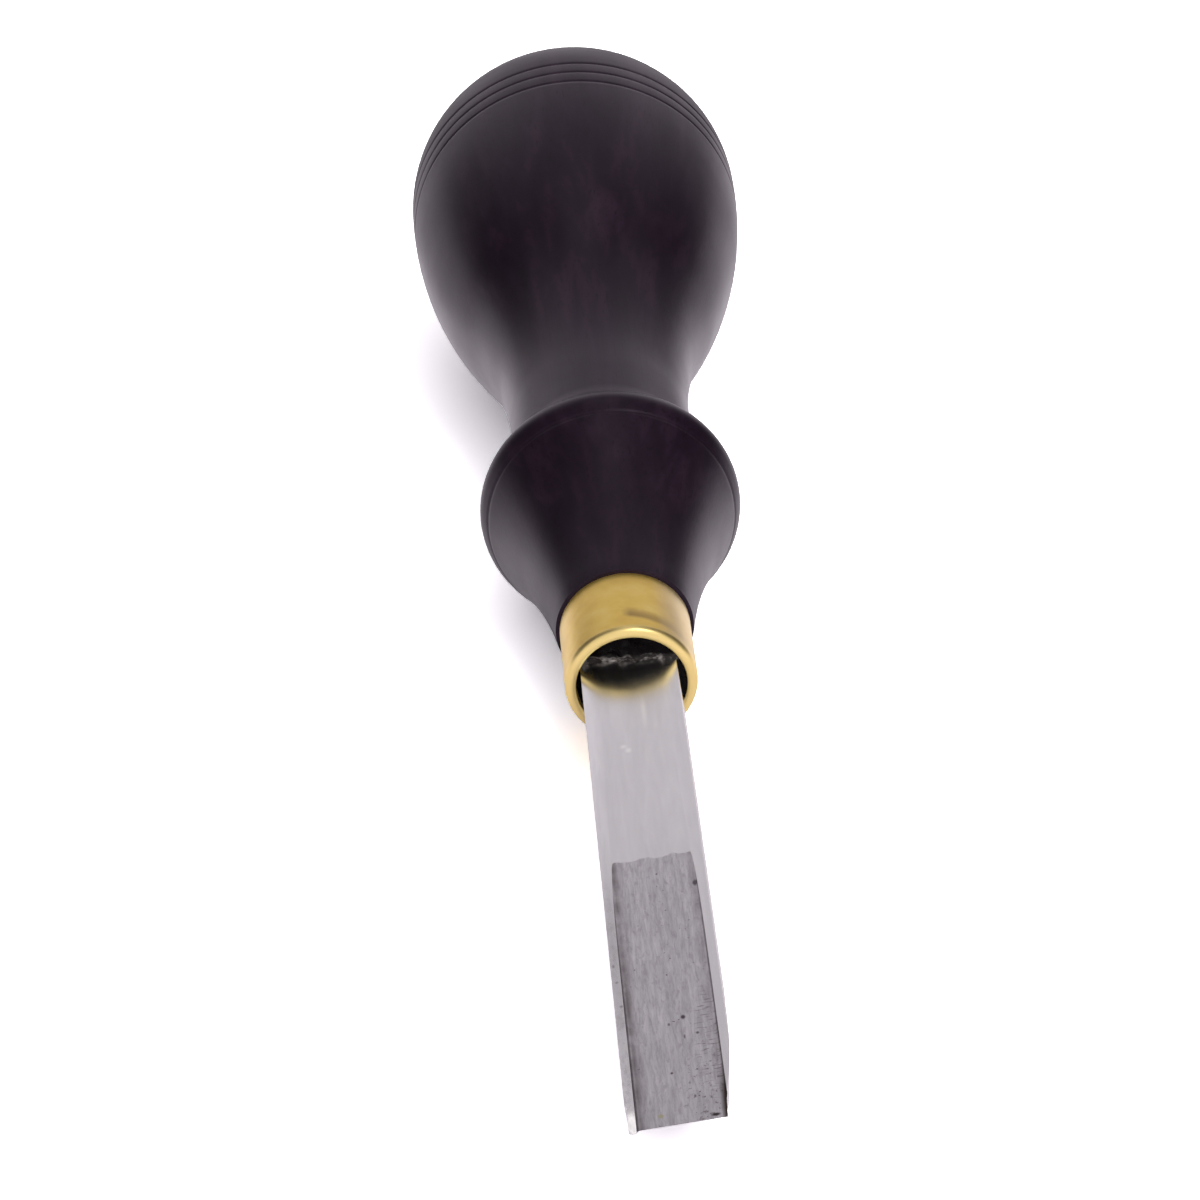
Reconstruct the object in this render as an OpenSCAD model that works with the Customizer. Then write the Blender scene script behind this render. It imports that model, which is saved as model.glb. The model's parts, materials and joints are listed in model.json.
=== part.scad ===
// Leather edge beveler: a channelled blade set in a turned palm handle with a brass ferrule.
// The tool is drawn along its own axis, +Y to the butt and y = 0 at the ferrule's mouth, and is
// then laid on the bench, where it touches with its bulb and its bead.

/* [Blade] */
// Width of the blade bar
blade_w = 8; // [6:0.5:9]
// Thickness of the blade bar
blade_t = 4; // [3:0.1:5]
// Reach of the blade in front of the ferrule, to the noses of the rails
blade_reach = 59.5; // [50:0.5:75]
// Width of the tang where it leaves the shoulders
tang_w = 5; // [4:0.1:5.5]
// Width of the tang at its rear end
tang_end_w = 3.4; // [2:0.1:4]
// Length of the tang behind the shoulders
tang_l = 40; // [25:1:55]

/* [Cutting end] */
// Width of each rail beside the channel
rail_w = 0.7; // [0.4:0.05:1.2]
// Depth of the channel at the cutting edge
channel_depth = 0.8; // [0.5:0.05:1.5]
// Length of the channel, from the cutting edge to where it runs out
channel_l = 31; // [20:0.5:40]
// Radius along the two corners of the channel's floor
channel_fillet = 0.28; // [0.1:0.02:0.45]
// Angle between the blade's top and the bevel ground from beneath
bevel_angle = 30; // [22:1:40]
// Height of the blunt noses of the rails
nose_t = 0.15; // [0.05:0.05:0.4]
// Length of the flank ground off the right rail, back from its nose
flank_l = 9.2; // [5:0.1:14]
// Angle of that flank to the side of the blade where it starts
flank_turn = 3; // [2:0.1:5]
// Radius of the flank's rounding up to where the rail is gone
flank_r = 52; // [40:1:80]
// Angle of the flank to the side of the blade beside the cutting edge
flank_taper = 2; // [0:0.5:4]
// Relief of the flank beneath its top edge
flank_relief = 8; // [3:1:10]

/* [Ferrule] */
// Wall of the brass tube
ferrule_wall = 0.95; // [0.5:0.05:1.2]
// Length of the ferrule
ferrule_l = 9; // [7:0.5:14]
// Share of the wall that the lip's outer rounding takes, the inner one taking the rest
lip_share = 0.74; // [0.5:0.01:0.8]
// Space between the corners of the blade and the bore of the ferrule
blade_clear = 0.12; // [0.05:0.01:0.6]
// Depth of the resin's face inside the ferrule's mouth
mouth_depth = 0.9; // [0.3:0.1:2]
// Share of that depth by which the resin is drawn up the wall of the bore
resin_climb = 0.7; // [0.2:0.1:0.8]

/* [Handle] */
// Largest diameter of the bulb
bulb_d = 33; // [29:0.2:37]
// Distance from the ferrule's mouth to the widest place of the bulb
bulb_y = 90.4; // [86:0.2:100]
// Diameter of the neck
neck_d = 16.5; // [14:0.1:18]
// Largest diameter of the bead
bead_d = 23.2; // [20:0.2:26]
// Distance from the ferrule's mouth to the widest place of the bead
bead_y = 29.2; // [26:0.2:32]
// Height of the handle's shoulder over the ferrule
shoulder_step = 0.35; // [0.1:0.05:0.8]
// Length of the tenon inside the ferrule
tenon_l = 5; // [3:0.1:6]

/* [Turned curves] */
// Radius of the long curve from the ferrule up to the bead
ogee_r = 65; // [55:1:80]
// Radius over the crest of the bead
crest_r = 2.5; // [1.5:0.1:4]
// Radius of the hollow behind the bead
cove_r = 9.4; // [6:0.1:12]
// Radius of the curve from the neck out to the bulb
flare_r = 60; // [45:1:75]
// Radius of the bulb's long front flank
swell_r = 76; // [60:1:90]

/* [Scribed lines] */
// Width of a scribed line
line_w = 0.5; // [0.3:0.05:0.8]
// Depth of a scribed line
line_depth = 0.15; // [0.1:0.05:0.4]
// Number of scribed lines on the bulb
bulb_lines = 3; // [1:1:4]
// Distance from the bulb's widest place forward to its first line
bulb_line_offset = 0.7; // [0:0.1:3]
// Distance from one line on the bulb to the next
bulb_line_pitch = 2; // [1.2:0.05:2.5]
// Distance from the bead's widest place forward to its line
bead_line_offset = 1.9; // [1:0.05:3]

/* [Fits] */
// Glue space between the tenon and the bore of the ferrule
tenon_fit = 0.05; // [0.02:0.01:0.15]
// Space between the corners of the tang and the wall of its socket
tang_clear = 0.1; // [0.05:0.01:0.3]
// Depth of the socket behind the end of the tang
socket_spare = 1; // [0.5:0.1:3]
// Space between the set resin and the round walls that hold it
resin_gap = 0.02; // [0.01:0.01:0.05]
// Point angle of the drill that made the socket
drill_point = 118; // [90:1:140]

/* [Hidden] */
$fn = 180;
arc_steps = 16;

bore_r = norm([blade_w, blade_t]) / 2 + blade_clear;
ferrule_r = bore_r + ferrule_wall;
lip_out = lip_share * ferrule_wall;
lip_in = ferrule_wall - lip_out;
tenon_r = bore_r - tenon_fit;
tenon_y = ferrule_l - tenon_l;
socket_r = norm([tang_w, blade_t]) / 2 + tang_clear;
socket_end_y = tenon_y + tang_l + socket_spare;
drill_tip = socket_r / tan(drill_point / 2);

// Centres of the handle's arcs, as [radius, distance from the mouth], each arc tangent to the next
bulb_r = bulb_d / 2;
neck_r = neck_d / 2;
bead_r = bead_d / 2;
shoulder = [ferrule_r + shoulder_step, ferrule_l];
crest_c = [bead_r - crest_r, bead_y];
swell_c = [bulb_r - swell_r, bulb_y];
cove_c = [neck_r + cove_r, bead_y + leg(crest_r + cove_r, neck_r + cove_r - crest_c.x)];
flare_c = [neck_r + flare_r, bulb_y - leg(flare_r + swell_r, neck_r + flare_r - swell_c.x)];
ogee_c = circle_meet(shoulder, ogee_r, crest_c, ogee_r + crest_r);
dome_c = [0, bulb_y];

// Cutting end, with the channel's floor sloping evenly down to the cutting edge
channel_w = blade_w - 2 * rail_w;
nose_y = -blade_reach;
edge_y = nose_y + (channel_depth - nose_t) / tan(bevel_angle);
bevel_back_y = nose_y + (blade_t - nose_t) / tan(bevel_angle);
channel_slope = atan(channel_depth / channel_l);

// Lie of the tool on the bench, on the front of the bulb's swell and of the bead's crest
lie_span = bulb_y - bead_y;
lie_drop = crest_c.x - swell_c.x;
lie_angle = asin((swell_r - crest_r) / norm([lie_span, lie_drop])) - atan2(lie_drop, lie_span);
lie_lift = swell_r + swell_c.x * cos(lie_angle) - bulb_y * sin(lie_angle);
lie_back = bulb_y * cos(lie_angle) + bulb_r;
lie_front = nose_y * cos(lie_angle) - blade_t / 2 * sin(lie_angle);

// Other leg of a right triangle
function leg(long, short) = sqrt(long * long - short * short);

// Direction from one point to another
function heading(from, to) = atan2(to.y - from.y, to.x - from.x);

// Points along an arc from one direction up to, but not at, another
function arc(centre, r, from, to) =
    [for (i = [0:arc_steps - 1])
        let (a = from + (to - from) * i / arc_steps)
        centre + r * [cos(a), sin(a)]];

// Outer of the two points at distance ra from a and at distance rb from b
function circle_meet(a, ra, b, rb) =
    let (d = norm(b - a))
    let (along = (d * d + ra * ra - rb * rb) / (2 * d))
    let (aside = leg(ra, along))
    let (u = (b - a) / d)
    a + along * u + aside * [u.y, -u.x];

// V-shaped cut at a place on the profile, square to a surface that leans by an angle
module scribe(place, lean) {
    translate(place) rotate(lean)
        polygon([[-line_depth, 0], [line_depth, line_w], [line_depth, -line_w]]);
}

// Half section of the handle, from its socket over the tenon and the turned curves to the butt
module handle_profile() {
    polygon(concat(
        [[0, socket_end_y + drill_tip],
         [socket_r, socket_end_y],
         [socket_r, tenon_y],
         [tenon_r, tenon_y],
         [tenon_r, ferrule_l]],
        arc(ogee_c, ogee_r, heading(ogee_c, shoulder), heading(ogee_c, crest_c)),
        arc(crest_c, crest_r, heading(crest_c, ogee_c), heading(crest_c, cove_c)),
        arc(cove_c, cove_r, heading(crest_c, cove_c) + 180, 180),
        [[neck_r, cove_c.y]],
        arc(flare_c, flare_r, 180, heading(flare_c, swell_c)),
        arc(swell_c, swell_r, heading(swell_c, flare_c), 0),
        arc(dome_c, bulb_r, 0, 90),
        [[0, bulb_y + bulb_r]]
    ));
}

// Half section of the resin: a plug in the ferrule's mouth and a filling for the socket
module resin_profile() {
    plug_r = bore_r - resin_gap;
    fill_r = socket_r - resin_gap;
    climb = resin_climb * mouth_depth;
    polygon([
        [0, mouth_depth],
        [plug_r - climb, mouth_depth],
        [plug_r, mouth_depth - climb],
        [plug_r, tenon_y],
        [fill_r, tenon_y],
        [fill_r, socket_end_y],
        [0, socket_end_y + drill_tip * fill_r / socket_r]
    ]);
}

// One line on the front of the bead, and a row of lines in front of the bulb's widest place
module scribed_lines() {
    bead_turn = asin((bead_y - bead_line_offset - ogee_c.y) / ogee_r);
    scribe(ogee_c + ogee_r * [-cos(bead_turn), sin(bead_turn)], -bead_turn);
    for (i = [0:bulb_lines - 1]) {
        bulb_turn = -asin((bulb_line_offset + i * bulb_line_pitch) / swell_r);
        scribe(swell_c + swell_r * [cos(bulb_turn), sin(bulb_turn)], bulb_turn);
    }
}

// What rounding takes off a lower corner at the origin, of a profile to its right (1) or left (-1)
module corner(r, side) {
    difference() {
        square(2 * r, center = true);
        translate([side, 1] * r) circle(r);
    }
}

// Half section of the ferrule, with its lip at y = 0
module ferrule_profile() {
    difference() {
        translate([bore_r, 0]) square([ferrule_wall, ferrule_l]);
        translate([bore_r, 0]) corner(lip_in, 1);
        translate([ferrule_r, 0]) corner(lip_out, -1);
    }
}

// Turns a profile about the tool's axis
module turned() {
    rotate([-90, 0, 0]) rotate_extrude() children();
}

// Lays the tool on the bench, with the middle of its length over the origin
module on_bench() {
    translate([0, -(lie_back + lie_front) / 2, lie_lift]) rotate([lie_angle, 0, 0]) children();
}

module blade_plan() {
    polygon([
        [-blade_w / 2, nose_y],
        [blade_w / 2, nose_y],
        [blade_w / 2, tenon_y],
        [tang_w / 2, tenon_y],
        [tang_end_w / 2, tenon_y + tang_l],
        [-tang_end_w / 2, tenon_y + tang_l],
        [-tang_w / 2, tenon_y],
        [-blade_w / 2, tenon_y]
    ]);
}

module blade_side() {
    polygon([
        [nose_y, blade_t / 2],
        [nose_y, blade_t / 2 - nose_t],
        [bevel_back_y, -blade_t / 2],
        [tenon_y + tang_l, -blade_t / 2],
        [tenon_y + tang_l, blade_t / 2]
    ]);
}

// Section of the channel, with its floor at y = 0
module channel_section() {
    difference() {
        translate([-channel_w / 2, 0]) square([channel_w, blade_t]);
        for (side = [-1, 1]) {
            translate([side * channel_w / 2, 0]) corner(channel_fillet, -side);
        }
    }
}

module channel_cut() {
    translate([0, edge_y + channel_l, blade_t / 2]) rotate([90 + channel_slope, 0, 0])
        linear_extrude(channel_l + blade_w) channel_section();
}

// Plan of what is ground off the right rail, from where the flank leaves the blade's side
module flank_plan() {
    flank_c = flank_r * [-cos(flank_turn), sin(flank_turn)];
    gone = acos(cos(flank_turn) - rail_w / flank_r);
    gone_at = flank_c + flank_r * [cos(gone), -sin(gone)];
    back = 6 * blade_t;
    run = 2 * flank_l;
    polygon(concat(
        [[back * tan(flank_turn), back]],
        arc(flank_c, flank_r, -flank_turn, -gone),
        [gone_at,
         gone_at - run * [sin(flank_taper), cos(flank_taper)],
         [blade_w, gone_at.y - run],
         [blade_w, back]]
    ));
}

module flank_cut() {
    translate([blade_w / 2, nose_y + flank_l, blade_t / 2]) rotate([0, flank_relief, 0])
        translate([0, 0, -2 * blade_t]) linear_extrude(3 * blade_t) flank_plan();
}

module blade_solid() {
    difference() {
        intersection() {
            linear_extrude(blade_t, center = true) blade_plan();
            rotate([90, 0, 90]) linear_extrude(blade_w, center = true) blade_side();
        }
        channel_cut();
        flank_cut();
    }
}

// Turned hardwood handle with its tenon, socket and scribed lines
module handle() {
    color("#241c22") on_bench() turned() difference() {
        handle_profile();
        scribed_lines();
    }
}

// Brass tube with a rounded lip
module ferrule() {
    color("#c9a44c") on_bench() turned() ferrule_profile();
}

// Steel blade
module blade() {
    color("#b4b1b4") on_bench() blade_solid();
}

// Black resin in the ferrule's mouth and round the tang
module bedding_resin() {
    color("#14110f") on_bench() difference() {
        turned() resin_profile();
        blade_solid();
    }
}

handle();
ferrule();
blade();
bedding_resin();
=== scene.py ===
import json
import math
from collections import Counter

import bpy
from mathutils import Matrix, Vector, noise


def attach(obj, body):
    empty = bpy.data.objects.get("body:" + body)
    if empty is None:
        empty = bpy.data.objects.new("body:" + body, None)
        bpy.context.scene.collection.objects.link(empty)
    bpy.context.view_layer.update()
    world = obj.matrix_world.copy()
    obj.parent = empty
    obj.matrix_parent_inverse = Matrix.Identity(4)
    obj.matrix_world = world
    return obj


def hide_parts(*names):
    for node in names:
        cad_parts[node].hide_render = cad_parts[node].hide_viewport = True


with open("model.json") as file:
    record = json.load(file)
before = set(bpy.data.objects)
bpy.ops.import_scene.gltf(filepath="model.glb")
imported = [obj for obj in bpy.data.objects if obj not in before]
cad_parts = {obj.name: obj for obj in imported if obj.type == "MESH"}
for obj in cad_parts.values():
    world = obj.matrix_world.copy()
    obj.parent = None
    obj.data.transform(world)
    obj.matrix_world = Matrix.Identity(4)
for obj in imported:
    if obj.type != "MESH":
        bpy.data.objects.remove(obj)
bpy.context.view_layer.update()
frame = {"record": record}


# Turned handle: one piece of dense, near-black hardwood, turned between centres with a bead for the
# fingers and a bulb for the palm, scribed with the skew's point and polished to a satin gloss.
# Its tenon is glued into the ferrule, and a socket is drilled up its middle for the tang.
bore_r = 4.592
ferrule_l = 9
tenon_r = 4.542
tenon_y = 4
socket_r = 3.302
socket_end_y = 45
drill_tip = 1.984
bulb_r = 16.5
bulb_y = 90.4
neck_r = 8.25
bead_r = 11.6
bead_y = 29.2
shoulder = Vector((5.892, 9))
ogee_r = 65
crest_r = 2.5
cove_r = 9.4
flare_r = 60
swell_r = 76
tenon_ease = 0.3
bead_line_y = bead_y - 1.9
first_bulb_line, bulb_line_gap = 0.7, 2
round_steps = 144

# A scribed line's section, as (distance from its middle, depth), and the room that it needs on either side.
scribed_line = [(-0.36, 0), (-0.25, 0.010), (-0.09, 0.052), (0, 0.07),
                (0.09, 0.052), (0.25, 0.010), (0.36, 0)]
line_room = 0.45

# The record's mount gives the tool's lie: the ferrule's axis, and a point on it. The depth of that point
# behind the mouth is in metres.
mount_depth = 0.0048515
ferrule_mount = frame["record"]["mounts"][0]
to_butt = -Vector(ferrule_mount["axis"]).normalized()
lie_angle = math.asin(to_butt.z)
mouth = Vector(ferrule_mount["pos_m"]) - to_butt * mount_depth


def heading(start, end):
    """The angle of the line from one point to another."""
    return math.atan2(end.y - start.y, end.x - start.x)


def turned_arc(centre, r, start, end, steps, lines=(), wood=1):
    """Points (radius, distance) along an arc, with scribed lines cut into the wood's side of it."""
    stations = [(start + (end - start) * i / steps, 0) for i in range(steps)]
    for line in lines:
        stations = [s for s in stations if abs(s[0] - line) * r > line_room]
        stations += [(line + along / r, depth) for along, depth in scribed_line]
    stations.sort(reverse=end < start)
    return [centre + (r - wood * depth) * Vector((math.cos(a), math.sin(a))) for a, depth in stations]


def draw_outline(name, points):
    """Draws a line of points, vertex by vertex, and leaves it selected in edit mode."""
    bpy.ops.object.select_all(action="DESELECT")
    bpy.ops.mesh.primitive_plane_add(size=1)
    piece = bpy.context.object
    piece.name = name
    bpy.ops.object.mode_set(mode="EDIT")
    bpy.ops.mesh.select_mode(type="VERT")
    bpy.ops.mesh.select_all(action="SELECT")
    bpy.ops.mesh.merge(type="CENTER")
    bpy.ops.transform.translate(value=points[0])
    for here, there in zip(points, points[1:]):
        bpy.ops.mesh.extrude_region_move(TRANSFORM_OT_translate={"value": there - here})
    bpy.ops.mesh.select_all(action="SELECT")
    return piece


def turn_on_lathe(name, outline, steps):
    """Spins an outline of (radius, distance) points about the tool's axis."""
    piece = draw_outline(name, [Vector((r, y, 0)) for r, y in outline])
    bpy.ops.mesh.spin(steps=steps, angle=math.tau, center=(0, 0, 0), axis=(0, 1, 0))
    bpy.ops.mesh.select_all(action="SELECT")
    bpy.ops.mesh.remove_doubles(threshold=0.0005)
    bpy.ops.mesh.normals_make_consistent(inside=False)
    bpy.ops.object.mode_set(mode="OBJECT")
    return piece


def lay_on_bench(piece, smooth_angle):
    """Takes a piece drawn in millimetres along the tool's axis to its place in the frame."""
    bpy.ops.object.select_all(action="DESELECT")
    piece.select_set(True)
    bpy.context.view_layer.objects.active = piece
    bpy.ops.object.shade_smooth_by_angle(angle=math.radians(smooth_angle))
    piece.location = mouth
    piece.rotation_euler = (lie_angle, 0, 0)
    piece.scale = (0.001, 0.001, 0.001)
    bpy.ops.object.transform_apply(location=True, rotation=True, scale=True)


crest_c = Vector((bead_r - crest_r, bead_y))
swell_c = Vector((bulb_r - swell_r, bulb_y))
cove_side = neck_r + cove_r - crest_c.x
cove_c = Vector((neck_r + cove_r, bead_y + math.sqrt((crest_r + cove_r) ** 2 - cove_side ** 2)))
flare_side = neck_r + flare_r - swell_c.x
flare_c = Vector((neck_r + flare_r, bulb_y - math.sqrt((flare_r + swell_r) ** 2 - flare_side ** 2)))
across = crest_c - shoulder
along = (across.length_squared + ogee_r ** 2 - (ogee_r + crest_r) ** 2) / (2 * across.length)
aside = math.sqrt(ogee_r ** 2 - along ** 2)
across.normalize()
ogee_c = shoulder + along * across + aside * Vector((across.y, -across.x))

bead_line = math.pi - math.asin((bead_line_y - ogee_c.y) / ogee_r)
bulb_lines = [-math.asin((first_bulb_line + bulb_line_gap * i) / swell_r) for i in range(3)]

handle_outline = [
    Vector((0, socket_end_y + drill_tip)),
    Vector((socket_r, socket_end_y)),
    Vector((socket_r, tenon_y + tenon_ease)),
    Vector((socket_r + tenon_ease, tenon_y)),
    Vector((tenon_r - tenon_ease, tenon_y)),
    Vector((tenon_r, tenon_y + tenon_ease)),
    Vector((tenon_r, ferrule_l)),
    Vector((shoulder.x - 0.14, ferrule_l)),
    Vector((shoulder.x - 0.03, ferrule_l + 0.05)),
    *turned_arc(ogee_c, ogee_r, heading(ogee_c, shoulder), heading(ogee_c, crest_c), 26, [bead_line], -1)[1:],
    *turned_arc(crest_c, crest_r, heading(crest_c, ogee_c), heading(crest_c, cove_c), 14),
    *turned_arc(cove_c, cove_r, heading(crest_c, cove_c) + math.pi, math.pi, 18),
    Vector((neck_r, cove_c.y)),
    *turned_arc(flare_c, flare_r, math.pi, heading(flare_c, swell_c), 26),
    *turned_arc(swell_c, swell_r, heading(swell_c, flare_c), 0, 30, bulb_lines),
    *turned_arc(Vector((0, bulb_y)), bulb_r, 0, math.pi / 2, 36),
    Vector((0, bulb_y + bulb_r)),
]
handle = turn_on_lathe("turned_handle", handle_outline, round_steps)
lay_on_bench(handle, 32)


def finish_of(piece, name):
    """A new material on a piece, with its shader and a position in millimetres along the tool's axis."""
    material = bpy.data.materials.new(name)
    material.use_nodes = True
    nodes, links = material.node_tree.nodes, material.node_tree.links
    place = nodes.new("ShaderNodeTexCoord")
    tool = nodes.new("ShaderNodeMapping")
    tool.vector_type = "TEXTURE"
    tool.inputs["Location"].default_value = mouth
    tool.inputs["Rotation"].default_value = (lie_angle, 0, 0)
    tool.inputs["Scale"].default_value = (0.001, 0.001, 0.001)
    links.new(place.outputs["Object"], tool.inputs["Vector"])
    piece.data.materials.append(material)
    return nodes, links, nodes["Principled BSDF"], tool.outputs["Vector"]


def stretched(nodes, links, vector, scale, offset=(0, 0, 0)):
    """The position stretched along some axes, for marks that run one way."""
    mapping = nodes.new("ShaderNodeMapping")
    mapping.inputs["Scale"].default_value = scale
    mapping.inputs["Location"].default_value = offset
    links.new(vector, mapping.inputs["Vector"])
    return mapping.outputs["Vector"]


def grain(nodes, links, vector, scale, detail, roughness=0.5, distortion=0.0):
    """Fractal noise at a number of marks to the millimetre."""
    texture = nodes.new("ShaderNodeTexNoise")
    texture.inputs["Scale"].default_value = scale
    texture.inputs["Detail"].default_value = detail
    texture.inputs["Roughness"].default_value = roughness
    texture.inputs["Distortion"].default_value = distortion
    links.new(vector, texture.inputs["Vector"])
    return texture.outputs["Fac"]


def shade(nodes, links, value, stops):
    """Colours or greys along a value, from (position, colour) stops."""
    ramp = nodes.new("ShaderNodeValToRGB")
    for place, colour in stops[2:]:
        ramp.color_ramp.elements.new(place)
    for element, (place, colour) in zip(ramp.color_ramp.elements, stops):
        element.position = place
        element.color = (*colour, 1) if isinstance(colour, tuple) else (colour, colour, colour, 1)
    links.new(value, ramp.inputs["Fac"])
    return ramp.outputs["Color"]


def laid_over(nodes, links, mask, under, over):
    """One colour over another, where a mask says."""
    mix = nodes.new("ShaderNodeMix")
    mix.data_type = "RGBA"
    links.new(mask, mix.inputs[0])
    for colour, socket in ((under, mix.inputs[6]), (over, mix.inputs[7])):
        if isinstance(colour, tuple):
            socket.default_value = (*colour, 1)
        else:
            links.new(colour, socket)
    return mix.outputs[2]


def raised(nodes, links, height, distance, strength, normal=None):
    """A bump of some millimetres, on top of another if there is one."""
    bump = nodes.new("ShaderNodeBump")
    bump.inputs["Distance"].default_value = distance * 0.001
    bump.inputs["Strength"].default_value = strength
    links.new(height, bump.inputs["Height"])
    if normal is not None:
        links.new(normal, bump.inputs["Normal"])
    return bump.outputs["Normal"]


nodes, links, shader, tool = finish_of(handle, "polished_dark_hardwood")
along_grain = stretched(nodes, links, tool, (1, 0.05, 1))
figure = grain(nodes, links, along_grain, 0.55, 5, 0.6, 0.4)
pores = grain(nodes, links, stretched(nodes, links, tool, (1, 0.07, 1), (3, 0, 1)), 5, 2, 0.5)
cloudy = grain(nodes, links, tool, 0.09, 3)
wood_colour = shade(nodes, links, figure, [
    (0.30, (0.0040, 0.0017, 0.0044)), (0.52, (0.0064, 0.0029, 0.0068)), (0.72, (0.0122, 0.0060, 0.0112))])
pore_mask = shade(nodes, links, pores, [(0.60, 0.0), (0.70, 1.0)])
wood_colour = laid_over(nodes, links, pore_mask, wood_colour, (0.0030, 0.0015, 0.0032))
links.new(wood_colour, shader.inputs["Base Color"])
links.new(shade(nodes, links, cloudy, [(0.35, 0.33), (0.65, 0.40)]), shader.inputs["Roughness"])
links.new(raised(nodes, links, pores, 0.02, 0.25), shader.inputs["Normal"])
shader.inputs["IOR"].default_value = 1.3
shader.inputs["Specular Tint"].default_value = (0.97, 0.80, 1, 1)

# The end grain on the bulb's dome has drunk the polish and is duller.
place = nodes.new("ShaderNodeSeparateXYZ")
links.new(tool, place.inputs["Vector"])
end_grain = nodes.new("ShaderNodeMapRange")
end_grain.inputs["From Min"].default_value = bulb_y - 1
end_grain.inputs["From Max"].default_value = bulb_y + 3
end_grain.inputs["To Min"].default_value = 0.5
end_grain.inputs["To Max"].default_value = 0.2
links.new(place.outputs["Y"], end_grain.inputs["Value"])
links.new(end_grain.outputs[0], shader.inputs["Specular IOR Level"])
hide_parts("handle")
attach(handle, "root")


# Ferrule: a short length of brass tube, faced off in the lathe with a rounded lip and rubbed to a satin
# finish. It is pressed and glued over the handle's tenon, and keeps the wood from splitting.
ferrule_r = 5.542
lip_in, lip_out = 0.247, 0.703
bore_ease, rear_ease = 0.1, 0.12
lip = [Vector((bore_r + lip_in, lip_in)) - lip_in * Vector((math.cos(a), math.sin(a)))
       for a in [math.pi / 2 * i / 8 for i in range(8)]]
lip += [Vector((bore_r + lip_in, lip_out)) + lip_out * Vector((math.sin(a), -math.cos(a)))
        for a in [math.pi / 2 * i / 12 for i in range(13)]]
ferrule_outline = [
    Vector((bore_r, ferrule_l - bore_ease)),
    Vector((bore_r, ferrule_l / 2)),
    *lip,
    Vector((ferrule_r, ferrule_l / 2)),
    Vector((ferrule_r, ferrule_l - rear_ease)),
    Vector((ferrule_r - 0.03, ferrule_l - 0.04)),
    Vector((ferrule_r - rear_ease, ferrule_l)),
    Vector((bore_r + bore_ease, ferrule_l)),
    Vector((bore_r, ferrule_l - bore_ease)),
]
ferrule = turn_on_lathe("brass_ferrule", ferrule_outline, round_steps)
lay_on_bench(ferrule, 40)


def within(nodes, links, mask, pattern):
    """A pattern that shows only where a mask does."""
    return laid_over(nodes, links, mask, (0, 0, 0), pattern)


nodes, links, shader, tool = finish_of(ferrule, "satin_brass")
cloudy = grain(nodes, links, tool, 0.35, 4, 0.6)
rubbed = grain(nodes, links, stretched(nodes, links, tool, (1, 9, 1)), 1.5, 3)
brass = shade(nodes, links, cloudy, [
    (0.30, (0.85, 0.60, 0.15)), (0.50, (0.92, 0.68, 0.18)), (0.70, (0.97, 0.76, 0.25))])

# A darker brown band runs across the right side, from the top down to the lip. The flanks are painted
# paler, a painted reflection of the white sheet that is strongest on the right, and the lip is polished
# smoother and painted paler as a painted highlight.
place = nodes.new("ShaderNodeSeparateXYZ")
links.new(tool, place.inputs["Vector"])
slant = nodes.new("ShaderNodeMath")
slant.operation = "MULTIPLY_ADD"
slant.inputs[1].default_value = 0.19
links.new(place.outputs["X"], slant.inputs[0])
links.new(place.outputs["Y"], slant.inputs[2])
wander = nodes.new("ShaderNodeMath")
wander.operation = "MULTIPLY_ADD"
wander.inputs[1].default_value = 0.5
links.new(cloudy, wander.inputs[0])
links.new(slant.outputs[0], wander.inputs[2])
across_band = nodes.new("ShaderNodeMapRange")
across_band.inputs["From Max"].default_value = 5
links.new(wander.outputs[0], across_band.inputs["Value"])
along_band = nodes.new("ShaderNodeMapRange")
along_band.inputs["From Max"].default_value = 6
links.new(place.outputs["X"], along_band.inputs["Value"])
band_width = shade(nodes, links, across_band.outputs[0], [(0.44, 0.0), (0.54, 0.85), (0.62, 0.75), (0.80, 0.0)])
band_length = shade(nodes, links, along_band.outputs[0], [(0.02, 0.0), (0.14, 1.0), (0.55, 0.8), (0.88, 0.2)])
brown_band = within(nodes, links, band_length, band_width)
brass = laid_over(nodes, links, brown_band, brass, (0.42, 0.27, 0.10))
# Painted reflection: the flanks are painted paler where the white sheet shows in them, most on the right.
side_to_side = nodes.new("ShaderNodeMapRange")
side_to_side.inputs["From Min"].default_value = -ferrule_r
side_to_side.inputs["From Max"].default_value = ferrule_r
links.new(place.outputs["X"], side_to_side.inputs["Value"])
painted_side_reflection = shade(nodes, links, side_to_side.outputs[0], [(0.0, 0.4), (0.16, 0.0), (0.76, 0.0), (0.92, 0.6)])
brass = laid_over(nodes, links, painted_side_reflection, brass, (0.97, 0.84, 0.58))
at_lip = nodes.new("ShaderNodeMapRange")
at_lip.inputs["From Min"].default_value = 0.85
at_lip.inputs["From Max"].default_value = 0.45
links.new(place.outputs["Y"], at_lip.inputs["Value"])
# Painted highlight: the lip's colour is painted paler and brighter. Its lower roughness below is real polish.
brass = laid_over(nodes, links, at_lip.outputs[0], brass, (0.96, 0.75, 0.30))
links.new(brass, shader.inputs["Base Color"])
shader.inputs["Metallic"].default_value = 1
satin = shade(nodes, links, rubbed, [(0.30, 0.46), (0.70, 0.54)])
satin = laid_over(nodes, links, at_lip.outputs[0], satin, (0.38, 0.38, 0.38))
links.new(satin, shader.inputs["Roughness"])
links.new(raised(nodes, links, rubbed, 0.01, 0.10), shader.inputs["Normal"])
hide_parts("ferrule")
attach(ferrule, "root")


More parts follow.
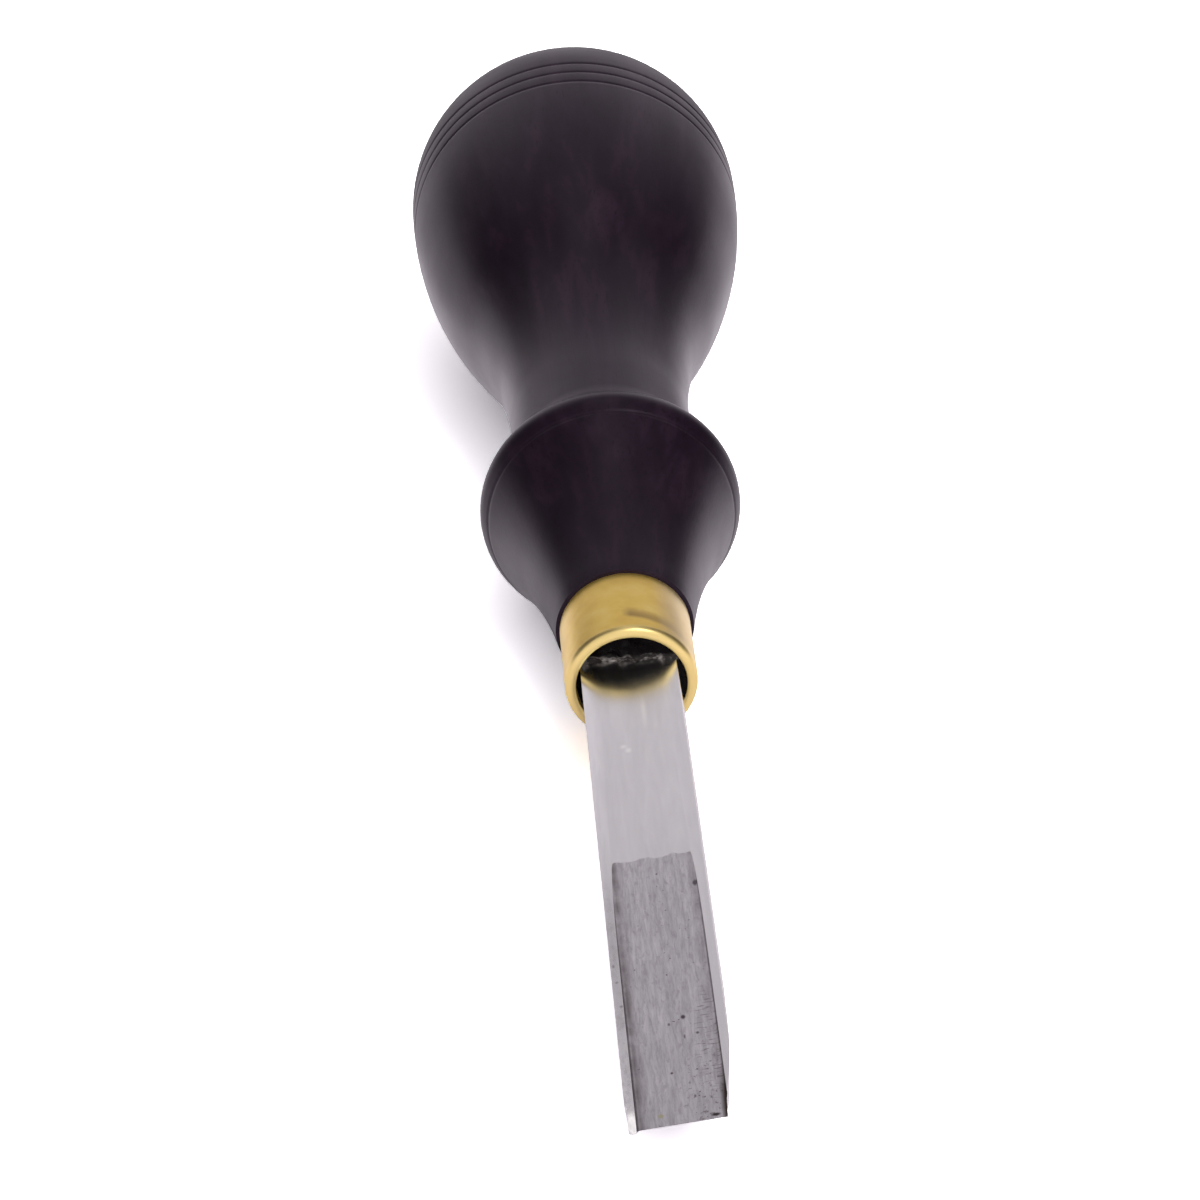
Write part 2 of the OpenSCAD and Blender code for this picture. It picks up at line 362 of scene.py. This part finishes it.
# Blade: a bar of tool steel, ground to a 30 degree bevel from beneath, with a shallow channel milled
# into its top between two thin rails and one flank ground away at the tip. The channel's mouth is the
# cutting edge. The tang, filed narrower, runs back into the handle.
blade_w = 8
blade_t = 4
tang_w = 5
tang_end_w = 3.4
tang_l = 40
nose_y = -59.5
nose_t = 0.15
bevel_angle = math.radians(30)
edge_break = 0.09
channel_w = 6.6
channel_depth = 0.8
channel_l = 31
channel_fillet = 0.28
edge_y = nose_y + (channel_depth - nose_t) / math.tan(bevel_angle)
channel_slope = math.atan(channel_depth / channel_l)
shortest_edge = 0.004


def pick(piece, kind, wanted):
    """Selects the faces or edges whose middle and direction pass a test, and leaves edit mode on."""
    bpy.ops.object.mode_set(mode="EDIT")
    bpy.ops.mesh.select_mode(type=kind)
    bpy.ops.mesh.select_all(action="DESELECT")
    bpy.ops.object.mode_set(mode="OBJECT")
    mesh = piece.data
    if kind == "FACE":
        for face in mesh.polygons:
            face.select = wanted(face.center, face.normal)
    else:
        for edge in mesh.edges:
            start, end = (mesh.vertices[i].co for i in edge.vertices)
            edge.select = wanted((start + end) / 2, (end - start).normalized())
    bpy.ops.object.mode_set(mode="EDIT")


def cut_away(piece, cutter):
    """Cuts one solid out of another, with the cutter's material, and dissolves spare points along the cut."""
    bpy.ops.object.select_all(action="DESELECT")
    piece.select_set(True)
    bpy.context.view_layer.objects.active = piece
    cut = piece.modifiers.new("cut", "BOOLEAN")
    cut.operation = "DIFFERENCE"
    cut.solver = "EXACT"
    cut.material_mode = "TRANSFER"
    cut.object = cutter
    bpy.ops.object.modifier_apply(modifier=cut.name)
    bpy.data.objects.remove(cutter)
    bpy.ops.object.mode_set(mode="EDIT")
    bpy.ops.mesh.select_mode(type="VERT")
    bpy.ops.mesh.select_all(action="SELECT")
    bpy.ops.mesh.remove_doubles(threshold=shortest_edge)
    bpy.ops.mesh.select_all(action="DESELECT")
    bpy.ops.object.mode_set(mode="OBJECT")
    edges_at = Counter(i for edge in piece.data.edges for i in edge.vertices)
    for vertex in piece.data.vertices:
        vertex.select = edges_at[vertex.index] == 2
    bpy.ops.object.mode_set(mode="EDIT")
    bpy.ops.mesh.dissolve_verts()
    bpy.ops.object.mode_set(mode="OBJECT")


def block(name, plan, low, high):
    """A flat outline of (x, y) points, filled in and raised from one height to another."""
    piece = draw_outline(name, [Vector((x, y, low)) for x, y in plan])
    bpy.ops.mesh.edge_face_add()
    bpy.ops.mesh.extrude_region_move(TRANSFORM_OT_translate={"value": (0, 0, high - low)})
    bpy.ops.mesh.select_all(action="SELECT")
    bpy.ops.mesh.normals_make_consistent(inside=False)
    bpy.ops.object.mode_set(mode="OBJECT")
    return piece


def bar_with_tang(name, front_y, clear):
    """The blade's bar and its tapering tang, or with some clearance the room that they take up."""
    bar, tang, tang_end = blade_w / 2 + clear, tang_w / 2 + clear, tang_end_w / 2 + clear
    shoulder_y, end_y = tenon_y + clear, tenon_y + tang_l + clear
    half = [(bar, front_y), (bar, shoulder_y), (tang, shoulder_y), (tang_end, end_y)]
    plan = half + [(-x, y) for x, y in reversed(half)]
    return block(name, plan, -blade_t / 2 - clear, blade_t / 2 + clear)


blade = bar_with_tang("channelled_blade", nose_y, 0)
pick(blade, "EDGE", lambda middle, line: abs(line.y) > 0.99 and middle.y < tenon_y)
bpy.ops.mesh.bevel(offset=edge_break, segments=2, affect="EDGES")
bpy.ops.mesh.select_all(action="SELECT")
bpy.ops.mesh.bisect(plane_co=(0, nose_y, blade_t / 2 - nose_t),
                    plane_no=(0, -math.sin(bevel_angle), -math.cos(bevel_angle)),
                    use_fill=True, clear_outer=True)
bpy.ops.object.mode_set(mode="OBJECT")


# The right rail's outer flank, rounded off on a slack belt until the rail is gone, with a relief beneath.
rail_w = 0.7
flank_l = 9.2
flank_r = 52
flank_turn = math.radians(3)
flank_taper = math.radians(2)
flank_relief = math.radians(8)
flank_back, flank_front, flank_side = 24, -18, 6
flank_run = 10
rail_gone = math.acos(math.cos(flank_turn) - rail_w / flank_r)
flank_c = flank_r * Vector((-math.cos(flank_turn), math.sin(flank_turn)))
flank_plan = [Vector((flank_back * math.tan(flank_turn), flank_back))]
flank_plan += [flank_c + flank_r * Vector((math.cos(a), -math.sin(a)))
               for a in [flank_turn + (rail_gone - flank_turn) * i / 20 for i in range(21)]]
flank_plan += [flank_plan[-1] - flank_run * Vector((math.sin(flank_taper), math.cos(flank_taper))),
               (flank_side, flank_front), (flank_side, flank_back)]
flank = block("flank", flank_plan, -8, 4)
flank.rotation_euler = (0, flank_relief, 0)
flank.location = (blade_w / 2, nose_y + flank_l, blade_t / 2)
bpy.ops.object.transform_apply(location=True, rotation=True, scale=True)


def spot(nodes, links, vector, centre, size):
    """A mask that is one in the middle of a mark and fades to nothing at its rim."""
    mapping = nodes.new("ShaderNodeMapping")
    mapping.vector_type = "TEXTURE"
    mapping.inputs["Location"].default_value = centre
    mapping.inputs["Scale"].default_value = size
    links.new(vector, mapping.inputs["Vector"])
    ball = nodes.new("ShaderNodeTexGradient")
    ball.gradient_type = "SPHERICAL"
    links.new(mapping.outputs["Vector"], ball.inputs["Vector"])
    return ball.outputs["Fac"]


nodes, links, shader, tool = finish_of(blade, "satin_blade_steel")
drawn = grain(nodes, links, stretched(nodes, links, tool, (1, 0.12, 1)), 1.3, 5, 0.6, 0.5)
fine = grain(nodes, links, stretched(nodes, links, tool, (1, 0.05, 1), (7, 0, 2)), 9, 3)
cloudy = grain(nodes, links, tool, 0.25, 4)
steel = shade(nodes, links, drawn, [
    (0.30, (0.74, 0.745, 0.74)), (0.55, (0.78, 0.785, 0.78)), (0.75, (0.82, 0.83, 0.815))])

# Rubbed places, each with its centre, size and colour: a pale streak in front of the ferrule, two scuffs
# beyond it, the duller left rail, three nicks in that rail, and a painted highlight on the end of the left
# prong.
rubbed_places_and_prong_highlight = [
    ((0.80, -6.9, 2), (0.32, 3.0, 0.5), (0.90, 0.91, 0.87)),
    ((-0.80, -12.3, 2), (0.35, 0.5, 0.5), (0.97, 0.98, 0.94)),
    ((-1.15, -11.7, 2), (0.40, 0.4, 0.5), (0.93, 0.94, 0.90)),
    ((-3.65, -38, 2), (0.9, 17, 0.9), (0.53, 0.535, 0.53)),
    ((-3.45, -45.1, 2), (0.2, 0.25, 0.3), (0.30, 0.29, 0.28)),
    ((-3.75, -40.2, 2), (0.14, 0.3, 0.3), (0.28, 0.27, 0.27)),
    ((-3.62, -42.2, 2), (0.18, 0.2, 0.3), (0.34, 0.33, 0.32)),
    ((-3.6, -58.2, 2), (0.7, 2.2, 0.5), (0.97, 0.94, 0.92)),
]
for centre, size, colour in rubbed_places_and_prong_highlight:
    steel = laid_over(nodes, links, spot(nodes, links, tool, centre, size), steel, colour)

# The left rail is also tarnished in patches, and the chipped end of its prong scatters the light.
tarnish = grain(nodes, links, stretched(nodes, links, tool, (1, 0.35, 1), (3, 1, 5)), 1.5, 5, 0.7)
tarnish = shade(nodes, links, tarnish, [(0.46, 0.0), (0.70, 0.6)])
left_rail = spot(nodes, links, tool, (-3.7, -46, 2), (0.9, 18, 0.9))
left_rail = shade(nodes, links, left_rail, [(0.05, 0.0), (0.3, 1.0)])
steel = laid_over(nodes, links, within(nodes, links, left_rail, tarnish), steel, (0.42, 0.41, 0.405))
links.new(steel, shader.inputs["Base Color"])
chipped = spot(nodes, links, tool, (-3.6, -58.9, 2), (0.8, 2.2, 0.8))
links.new(shade(nodes, links, chipped, [(0.15, 1.0), (0.55, 0.45)]), shader.inputs["Metallic"])
links.new(shade(nodes, links, cloudy, [(0.35, 0.20), (0.65, 0.26)]), shader.inputs["Roughness"])
links.new(raised(nodes, links, fine, 0.005, 0.08), shader.inputs["Normal"])

# The milling cutter's path, drawn level from the channel's shallow end and then tilted to its slope. Its
# floor wanders by about a hundredth of a millimetre.
path_front, path_back, path_t = -37, 2, 4
floor_cuts = 60
bpy.ops.object.select_all(action="DESELECT")
bpy.ops.mesh.primitive_cube_add(size=1, location=(0, (path_front + path_back) / 2, path_t / 2))
channel = bpy.context.object
channel.scale = (channel_w, path_back - path_front, path_t)
bpy.ops.object.transform_apply(location=True, rotation=True, scale=True)
pick(channel, "EDGE", lambda middle, line: abs(line.y) > 0.99 and middle.z < 1)
bpy.ops.mesh.bevel(offset=channel_fillet, segments=5, affect="EDGES")
bpy.ops.object.mode_set(mode="OBJECT")
pick(channel, "FACE", lambda middle, normal: normal.z < -0.99)
bpy.ops.mesh.subdivide(number_cuts=floor_cuts)
bpy.ops.object.mode_set(mode="OBJECT")
floor_edge = channel_w / 2 - channel_fillet - 0.01
for vertex in channel.data.vertices:
    if vertex.co.z < 0.001 and abs(vertex.co.x) < floor_edge:
        wander = Vector((vertex.co.x * 0.9, vertex.co.y * 0.35, 0))
        vertex.co.z += 0.009 * noise.noise(wander) + 0.004 * noise.noise(wander * 3)
channel.rotation_euler = (channel_slope, 0, 0)
channel.location = (0, edge_y + channel_l, blade_t / 2)
bpy.ops.object.select_all(action="DESELECT")
channel.select_set(True)
bpy.context.view_layer.objects.active = channel
bpy.ops.object.transform_apply(location=True, rotation=True, scale=True)

nodes, links, shader, tool = finish_of(channel, "milled_channel_steel")
streaks = grain(nodes, links, stretched(nodes, links, tool, (1, 0.09, 1)), 3.6, 8, 0.75, 0.3)
fine = grain(nodes, links, stretched(nodes, links, tool, (1, 0.06, 1), (5, 0, 3)), 11, 3)
chatter = grain(nodes, links, stretched(nodes, links, tool, (0.7, 4, 1), (2, 0, 1)), 1.2, 3)
pitted = grain(nodes, links, tool, 2.6, 3, 0.5)
steel = shade(nodes, links, streaks, [
    (0.30, (0.44, 0.43, 0.445)), (0.50, (0.61, 0.60, 0.62)), (0.70, (0.78, 0.775, 0.78))])
strokes = grain(nodes, links, stretched(nodes, links, tool, (1, 0.24, 1), (2, 5, 1)), 3.2, 6, 0.7, 0.6)
strokes = shade(nodes, links, strokes, [(0.50, 0.0), (0.66, 0.6)])
steel = laid_over(nodes, links, strokes, steel, (0.40, 0.365, 0.40))
pits = shade(nodes, links, pitted, [(0.70, 0.0), (0.745, 1.0)])
steel = laid_over(nodes, links, pits, steel, (0.16, 0.14, 0.14))

# Painted shade darkens the floor along both walls, in patches. Cross ticks and flecks lie along the right
# side and by the tip.
place = nodes.new("ShaderNodeSeparateXYZ")
links.new(tool, place.inputs["Vector"])
side = nodes.new("ShaderNodeMapRange")
side.inputs["From Min"].default_value = -channel_w / 2
side.inputs["From Max"].default_value = channel_w / 2
links.new(place.outputs["X"], side.inputs["Value"])
# Painted shade: the floor is darkened next to each wall.
painted_wall_shade = shade(nodes, links, side.outputs[0], [
    (0.0, 0.5), (0.045, 0.8), (0.09, 0.35), (0.15, 0.0), (0.88, 0.0), (0.95, 0.4), (1.0, 0.5)])
patches = shade(nodes, links, grain(nodes, links, tool, 0.45, 4, 0.6), [(0.36, 0.4), (0.60, 1.0)])
steel = laid_over(nodes, links, within(nodes, links, patches, painted_wall_shade), steel, (0.17, 0.145, 0.15))
ticks = grain(nodes, links, stretched(nodes, links, tool, (0.9, 5, 1), (1, 2, 3)), 1.1, 2)
ticks = shade(nodes, links, ticks, [(0.57, 0.0), (0.65, 0.7)])
by_right = spot(nodes, links, tool, (2.6, -50, 1.4), (1.4, 8, 1))
by_right = shade(nodes, links, by_right, [(0.1, 0.0), (0.4, 1.0)])
steel = laid_over(nodes, links, within(nodes, links, by_right, ticks), steel, (0.20, 0.17, 0.175))
flecks = shade(nodes, links, grain(nodes, links, tool, 3.0, 3, 0.6), [(0.60, 0.0), (0.66, 0.8)])
by_tip = spot(nodes, links, tool, (2.0, -55.5, 1.3), (2.6, 6, 1.5))
by_tip = shade(nodes, links, by_tip, [(0.1, 0.0), (0.5, 1.0)])
steel = laid_over(nodes, links, within(nodes, links, by_tip, flecks), steel, (0.22, 0.19, 0.195))

# The larger pits, each with its centre, size and colour, and by the edge a yellow stain, a black stain and
# a dark brown band of dirt and painted shade along the right wall.
pits_stains_and_wall_shade = [
    ((3.05, -31.3, 1.9), (0.28, 0.45, 0.5), (0.13, 0.12, 0.13)),
    ((0.86, -46.8, 1.5), (0.23, 0.30, 0.5), (0.12, 0.10, 0.11)),
    ((-0.22, -47.4, 1.48), (0.12, 0.21, 0.5), (0.24, 0.22, 0.23)),
    ((1.76, -48.8, 1.45), (0.16, 0.17, 0.5), (0.20, 0.18, 0.18)),
    ((0.80, -49.0, 1.44), (0.10, 0.30, 0.5), (0.27, 0.25, 0.26)),
    ((-0.43, -52.8, 1.34), (0.13, 0.17, 0.5), (0.16, 0.13, 0.13)),
    ((1.02, -55.6, 1.27), (0.11, 0.19, 0.5), (0.25, 0.23, 0.24)),
    ((-1.55, -57.2, 1.23), (0.28, 0.26, 0.5), (0.52, 0.50, 0.33)),
    ((2.30, -57.9, 1.21), (0.42, 0.22, 0.5), (0.07, 0.06, 0.06)),
    ((3.3, -57.6, 1.3), (0.6, 5.5, 1), (0.06, 0.045, 0.035)),
]
for centre, size, colour in pits_stains_and_wall_shade:
    mark = shade(nodes, links, spot(nodes, links, tool, centre, size), [(0.0, 0.0), (0.55, 1.0)])
    steel = laid_over(nodes, links, mark, steel, colour)
links.new(steel, shader.inputs["Base Color"])
shader.inputs["Metallic"].default_value = 1
links.new(shade(nodes, links, chatter, [(0.35, 0.30), (0.65, 0.42)]), shader.inputs["Roughness"])
marks = raised(nodes, links, fine, 0.010, 0.25)
links.new(raised(nodes, links, streaks, 0.014, 0.25, marks), shader.inputs["Normal"])
flank.data.materials.append(blade.data.materials["satin_blade_steel"])
cut_away(blade, flank)
cut_away(blade, channel)

# The left prong is chipped and worn narrower towards its end, which is rounded.
worn_plan = [(-5, -56.2), (-4.0, -56.35), (-3.86, -56.55), (-3.80, -56.75), (-3.86, -56.95), (-3.90, -57.1),
             (-3.88, -58.9), (-3.80, -59.2), (-3.62, -59.42), (-3.2, -59.53), (-3.2, -61), (-5, -61)]
worn = block("worn", worn_plan, -1, 3)
worn.data.materials.append(blade.data.materials["satin_blade_steel"])
cut_away(blade, worn)
lay_on_bench(blade, 25)
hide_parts("blade")
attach(blade, "root")


# Bedding resin: black resin poured round the tang to hold the blade. It set as a rough, lumpy face a little
# way inside the ferrule's mouth, deeper on the left and drawn up the wall, and fills the socket behind it.
mouth_depth = 0.9
least_depth = 0.12
face_slant = 0.2
climb_l, climb_w = 0.63, 0.35
wall_gap = 0.02
bar_gap = 0.01
in_front_y = -6
plug_r = bore_r - wall_gap
fill_r = socket_r - wall_gap
resin_outline = [
    *[Vector((plug_r * i / 14, mouth_depth)) for i in range(15)],
    Vector((plug_r, tenon_y)),
    Vector((fill_r, tenon_y)),
    Vector((fill_r, socket_end_y)),
    Vector((0, socket_end_y + drill_tip * fill_r / socket_r)),
]
resin = turn_on_lathe("bedding_resin_fill", resin_outline, 96)
for vertex in resin.data.vertices:
    if vertex.co.y < mouth_depth + 0.01:
        lumps = 0.45 * noise.noise(vertex.co * 1.1) + 0.25 * noise.noise(vertex.co * 2.7 + Vector((9, 4, 0)))
        climb = climb_l * math.exp((math.hypot(vertex.co.x, vertex.co.z) - plug_r) / climb_w)
        vertex.co.y = max(least_depth, mouth_depth - face_slant * vertex.co.x + lumps - climb)

nodes, links, shader, tool = finish_of(resin, "rough_black_resin")
lumpy = grain(nodes, links, tool, 2.4, 5, 0.6)
speckled = grain(nodes, links, stretched(nodes, links, tool, (0.45, 1, 1), (4, 2, 7)), 1.9, 5, 0.65)
black = shade(nodes, links, lumpy, [
    (0.35, (0.0012, 0.0007, 0.0010)), (0.60, (0.0024, 0.0016, 0.0019)), (0.75, (0.006, 0.0045, 0.0048))])

# Grey dust and painted glints lie where the resin meets the top of the blade.
place = nodes.new("ShaderNodeSeparateXYZ")
links.new(tool, place.inputs["Vector"])
over_blade = nodes.new("ShaderNodeMapRange")
over_blade.inputs["From Min"].default_value = 1.7
over_blade.inputs["From Max"].default_value = 3.1
links.new(place.outputs["Z"], over_blade.inputs["Value"])
specks = shade(nodes, links, speckled, [(0.46, 0.08), (0.64, 1.0)])
near = shade(nodes, links, over_blade.outputs[0], [(0.05, 0.0), (0.20, 0.9), (0.42, 0.6), (0.62, 0.0)])
dust_and_glints = within(nodes, links, near, specks)
links.new(laid_over(nodes, links, dust_and_glints, black, (0.36, 0.33, 0.31)), shader.inputs["Base Color"])
links.new(shade(nodes, links, lumpy, [(0.40, 0.25), (0.65, 0.50)]), shader.inputs["Roughness"])
shader.inputs["Specular IOR Level"].default_value = 0.05
links.new(raised(nodes, links, lumpy, 0.20, 0.35), shader.inputs["Normal"])

bar = bar_with_tang("room_for_the_bar", in_front_y, bar_gap)
bar.data.materials.append(resin.data.materials["rough_black_resin"])
cut_away(resin, bar)
lay_on_bench(resin, 40)
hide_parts("bedding_resin")
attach(resin, "root")


# Bench: a plain white sheet that the tool lies on, white to the eye apart from the tool's own soft shadow.
# The tool lies rolled over on its round handle, so in the blade's frame the bench is turned by that roll
# about the tool's axis.
roll_angle = math.radians(9.2)
roll = Matrix.Translation(mouth) @ Matrix.Rotation(roll_angle, 4, to_butt) @ Matrix.Translation(-mouth)
bpy.ops.object.select_all(action="DESELECT")
bpy.ops.mesh.primitive_plane_add(size=6)
bench = bpy.context.object
bench.name = "white_bench"
material = bpy.data.materials.new("white_sheet")
material.use_nodes = True
nodes, links = material.node_tree.nodes, material.node_tree.links
shader = nodes["Principled BSDF"]
shader.inputs["Roughness"].default_value = 0.9
shader.inputs["Specular IOR Level"].default_value = 0.1
rays = nodes.new("ShaderNodeLightPath")
sheet = laid_over(nodes, links, rays.outputs["Is Glossy Ray"], (0.80, 0.77, 0.80), (0.50, 0.47, 0.50))
sheet = laid_over(nodes, links, rays.outputs["Is Camera Ray"], sheet, (1.98, 1.95, 2.0))
links.new(sheet, shader.inputs["Base Color"])

# In reflections the sheet's glow is painted: white beside the handle, dimmer behind it, and taken away
# round the blade as a painted shadow.
shown = nodes.new("ShaderNodeMath")
shown.operation = "MAXIMUM"
links.new(rays.outputs["Is Glossy Ray"], shown.inputs[0])
links.new(rays.outputs["Is Transmission Ray"], shown.inputs[1])
lift = nodes.new("ShaderNodeMath")
lift.operation = "MULTIPLY"
links.new(shown.outputs[0], lift.inputs[0])
place = nodes.new("ShaderNodeTexCoord")
on_bench = nodes.new("ShaderNodeSeparateXYZ")
links.new(place.outputs["Object"], on_bench.inputs["Vector"])
behind = nodes.new("ShaderNodeMapRange")
behind.inputs["From Min"].default_value = 0.06
behind.inputs["From Max"].default_value = 0.13
behind.inputs["To Min"].default_value = 0.62
behind.inputs["To Max"].default_value = 0.3
links.new(on_bench.outputs["Y"], behind.inputs["Value"])
glow = behind.outputs[0]
# Painted light: two pools of extra glow beside the handle.
for centre, size in [((0.024, 0.040, 0), (0.028, 0.060, 0.05)), ((-0.022, 0.045, 0), (0.019, 0.056, 0.05))]:
    beside = spot(nodes, links, place.outputs["Object"], centre, size)
    beside = shade(nodes, links, beside, [(0.0, 0.0), (0.5, 1.0)])
    glow = laid_over(nodes, links, beside, glow, (1, 1, 1))
# Painted shadow: the glow in reflections fades out round the blade.
in_shadow = spot(nodes, links, place.outputs["Object"], (-0.01, -0.055, 0), (0.13, 0.09, 0.1))
shadow = shade(nodes, links, in_shadow, [(0.0, 0.0), (0.5, 0.85)])
links.new(laid_over(nodes, links, shadow, glow, (0, 0, 0)), lift.inputs[1])
shader.inputs["Emission Color"].default_value = (1, 0.92, 1, 1)
links.new(lift.outputs[0], shader.inputs["Emission Strength"])
bench.data.materials.append(material)
bench.matrix_world = roll


# Studio light: a dim room with a window behind the camera and a small ceiling lamp, where the white sheet
# sweeps up behind the bench, brightest low down. A soft box high on the right throws the tool's shadow to
# its left, a pale ceiling fills the shadow, and a spotlight puts the highlight on the ferrule's lip.
world = bpy.data.worlds.new("dim_room")
bpy.context.scene.world = world
world.use_nodes = True
nodes, links = world.node_tree.nodes, world.node_tree.links
direction = nodes.new("ShaderNodeTexCoord")
upright = nodes.new("ShaderNodeMapping")
upright.vector_type = "TEXTURE"
upright.inputs["Rotation"].default_value = roll.to_euler()
links.new(direction.outputs["Generated"], upright.inputs["Vector"])
facing = nodes.new("ShaderNodeSeparateXYZ")
links.new(upright.outputs["Vector"], facing.inputs["Vector"])
aside = nodes.new("ShaderNodeMath")
aside.operation = "ABSOLUTE"
links.new(facing.outputs["X"], aside.inputs[0])
dim = (0.04, 0.038, 0.04)
sweep_stops = [(0.0, 1.4), (0.10, 1.2), (0.30, 1.0), (0.50, 0.86), (0.60, 0.74), (0.70, 0.55), (0.80, 0.25),
               (0.90, 0.11), (0.97, 0.07)]
sweep_height = shade(nodes, links, facing.outputs["Z"],
                     [(height, (bright, 0.93 * bright, bright)) for height, bright in sweep_stops])
sweep_width = shade(nodes, links, aside.outputs[0], [(0.38, 1.0), (0.54, 0.5), (0.70, 0.0)])
sweep_depth = shade(nodes, links, facing.outputs["Y"], [(0.0, 0.0), (0.15, 1.0)])
sweep = laid_over(nodes, links, sweep_width, dim, sweep_height)
to_front = nodes.new("ShaderNodeMath")
to_front.operation = "MULTIPLY"
to_front.inputs[1].default_value = -1
links.new(facing.outputs["Y"], to_front.inputs[0])
window = shade(nodes, links, to_front.outputs[0], [(0.10, dim), (0.45, (0.85, 0.82, 0.85))])
room = laid_over(nodes, links, sweep_depth, window, sweep)
lamp = spot(nodes, links, upright.outputs["Vector"], (-0.03, 0.27, 0.96), (0.36, 0.36, 0.36))
lamp = shade(nodes, links, lamp, [(0.1, 0.0), (0.5, 1.0)])
room = laid_over(nodes, links, lamp, room, (0.9, 0.87, 0.9))
rays = nodes.new("ShaderNodeLightPath")
room = laid_over(nodes, links, rays.outputs["Is Camera Ray"], room, (1, 1, 1))
links.new(room, nodes["Background"].inputs["Color"])
nodes["Background"].inputs["Strength"].default_value = 1


def hang_light(name, place, size, energy):
    """Hangs a square area light over the bench, aimed at its middle."""
    place = roll @ Vector(place)
    bpy.ops.object.select_all(action="DESELECT")
    aim = (-place).to_track_quat("-Z", "Y").to_euler()
    bpy.ops.object.light_add(type="AREA", location=place, rotation=aim)
    light = bpy.context.object
    light.name = name
    light.data.shape = "SQUARE"
    light.data.size = size
    light.data.energy = energy
    return light


hang_light("soft_box", (0.34, -0.20, 0.82), 0.6, 4.2).visible_glossy = False
hang_light("pale_ceiling", (0.15, -0.9, 1.2), 3, 31).visible_glossy = False
hang_light("spotlight", (0.22, -0.42, 0.80), 0.3, 1.6)


# Camera: a long lens in front of the blade's tip and above it, looking along the tool to the bulb, and rolled
# with the bench.
bpy.ops.object.camera_add(location=(0.00882, -0.30781, 0.16061),
                          rotation=(math.radians(62.908), math.radians(9.184), math.radians(-2.624)))
camera = bpy.context.object
camera.data.sensor_width = 36
camera.data.lens = 117
camera.data.clip_start = 0.01
bpy.context.scene.camera = camera
bpy.context.scene.view_settings.view_transform = "Standard"
